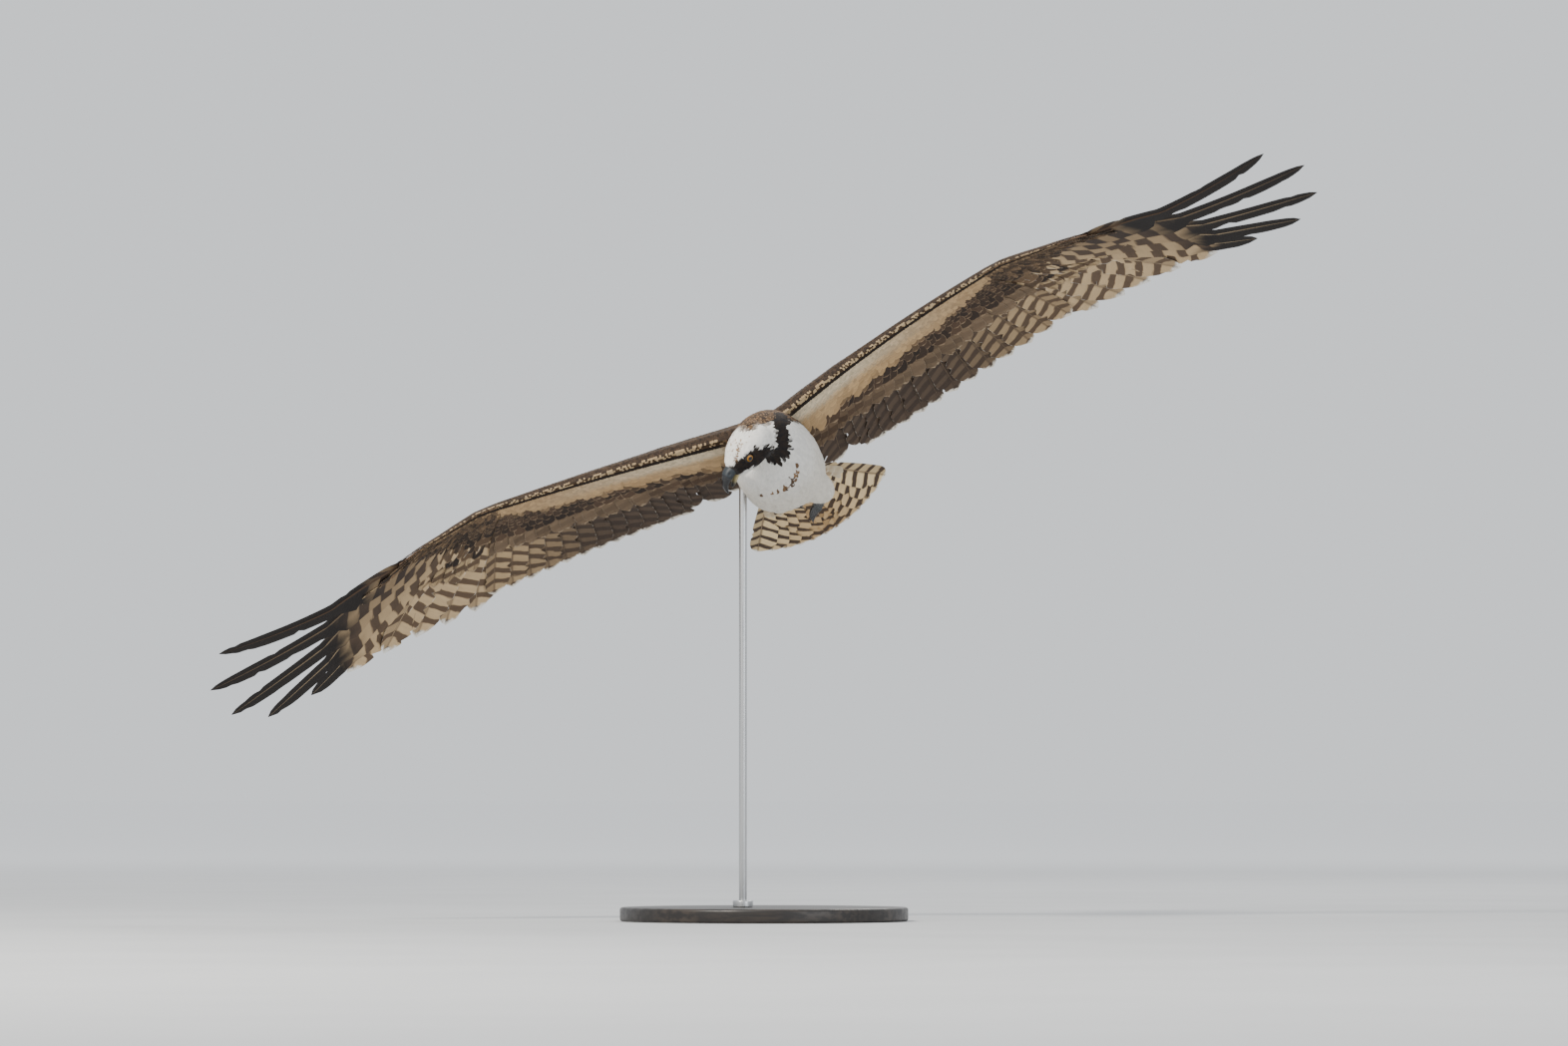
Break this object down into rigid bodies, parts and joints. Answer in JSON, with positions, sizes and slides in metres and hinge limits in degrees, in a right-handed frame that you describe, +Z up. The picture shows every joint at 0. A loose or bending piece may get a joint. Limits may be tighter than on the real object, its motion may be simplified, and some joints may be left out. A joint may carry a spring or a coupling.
{
  "type": "osprey model on a display stand",
  "caption": "Life-size osprey in banking flight, wings spread and head bowed to one side, held on one slim upright rod above a flat round display base.",
  "frame": {"origin": "centre of the display base's underside, on the floor", "axes": "+Z up from the base, -Y towards the viewer the bird flies at, +X along the wings towards the raised left wing"},
  "size_m": [1.4093, 0.5711, 0.9715],
  "materials": {
    "white_feathers": "soft white contour feathers with brown flecks",
    "brown_feathers": "dark brown vanes with pale edges, scalloped",
    "barred_feathers": "cream vanes with narrow brown bars",
    "dark_feathers": "blackish brown vanes, slight sheen",
    "bill": "smooth black horn",
    "eyes": "amber iris, black pupil, wet gloss",
    "leg_scales": "pale grey overlapping scales",
    "claws": "polished black horn",
    "stand_base": "black stained wood, satin",
    "stand_steel": "fine brushed"
  },
  "bodies": {
    "root": {"bill_lower": "bill", "bill_upper": "bill", "claw_left_1": "claws", "claw_left_2": "claws", "claw_left_3": "claws", "claw_left_4": "claws", "claw_right_1": "claws", "claw_right_2": "claws", "claw_right_3": "claws", "claw_right_4": "claws", "eye_left": "eyes", "eye_right": "eyes", "foot_left": "leg_scales", "foot_right": "leg_scales", "head": "white_feathers", "neck": "white_feathers", "stand_base": "stand_base", "stand_collar": "stand_steel", "stand_rod": "stand_steel", "tail": "barred_feathers", "thigh_left": "white_feathers", "thigh_right": "white_feathers", "trunk": "white_feathers", "wing_left_forearm": "brown_feathers", "wing_left_hand": "brown_feathers", "wing_left_primaries": "barred_feathers", "wing_left_primary_10": "dark_feathers", "wing_left_primary_6": "dark_feathers", "wing_left_primary_7": "dark_feathers", "wing_left_primary_8": "dark_feathers", "wing_left_primary_9": "dark_feathers", "wing_left_secondaries": "brown_feathers", "wing_left_upper_arm": "brown_feathers", "wing_right_forearm": "brown_feathers", "wing_right_hand": "brown_feathers", "wing_right_primaries": "barred_feathers", "wing_right_primary_10": "dark_feathers", "wing_right_primary_6": "dark_feathers", "wing_right_primary_7": "dark_feathers", "wing_right_primary_8": "dark_feathers", "wing_right_primary_9": "dark_feathers", "wing_right_secondaries": "brown_feathers", "wing_right_upper_arm": "brown_feathers"}
  },
  "joints": []
}
